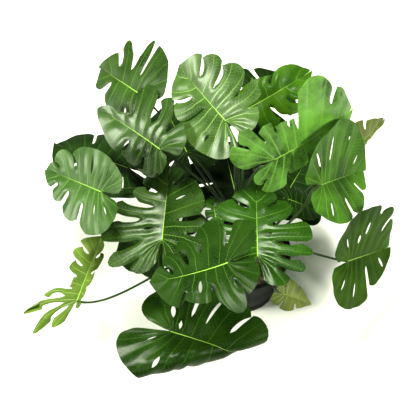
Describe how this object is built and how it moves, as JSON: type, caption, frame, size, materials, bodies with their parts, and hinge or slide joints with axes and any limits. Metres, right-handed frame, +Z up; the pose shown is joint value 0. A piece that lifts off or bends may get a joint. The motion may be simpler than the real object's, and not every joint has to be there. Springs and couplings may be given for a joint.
{
  "type": "potted swiss cheese plant",
  "caption": "Potted aroid house plant with large split and holed leaves on long stalks, short stems in soil, in a round tapered plastic pot that rests on a surface.",
  "frame": {"origin": "centre of the underside of the pot's base, on the surface that the pot rests on", "axes": "+Z up out of the pot's mouth, +X to the right and +Y away, as the plant is seen from its front"},
  "size_m": [0.9875, 0.9269, 0.7403],
  "materials": {
    "pot": "satin",
    "soil": "matte",
    "stem": "matte",
    "leaf": "satin",
    "young_leaf": "satin",
    "olive_leaf": "satin"
  },
  "bodies": {
    "root": {"pot": "pot", "soil": "soil", "stem_left": "stem", "stem_back": "stem", "stem_right": "stem", "stem_front": "stem", "leaf_left": "leaf", "leaf_upper_left": "leaf", "leaf_top_left": "leaf", "leaf_top_middle": "leaf", "leaf_upper_right": "leaf", "leaf_top_right": "leaf", "leaf_right": "leaf", "leaf_lower_right": "leaf", "leaf_middle_left": "leaf", "leaf_middle_right": "leaf", "leaf_front_middle": "leaf", "leaf_front_low": "leaf", "leaf_behind_left": "leaf", "leaf_young_pale": "young_leaf", "leaf_young_olive": "olive_leaf", "leaf_right_back": "olive_leaf", "leaf_small_dark": "leaf", "leaf_small_bright": "leaf", "leaf_inner_left": "leaf", "leaf_inner_right": "leaf", "leaf_low_left": "leaf", "leaf_low_back": "leaf", "leaf_far_back": "leaf"}
  },
  "joints": []
}
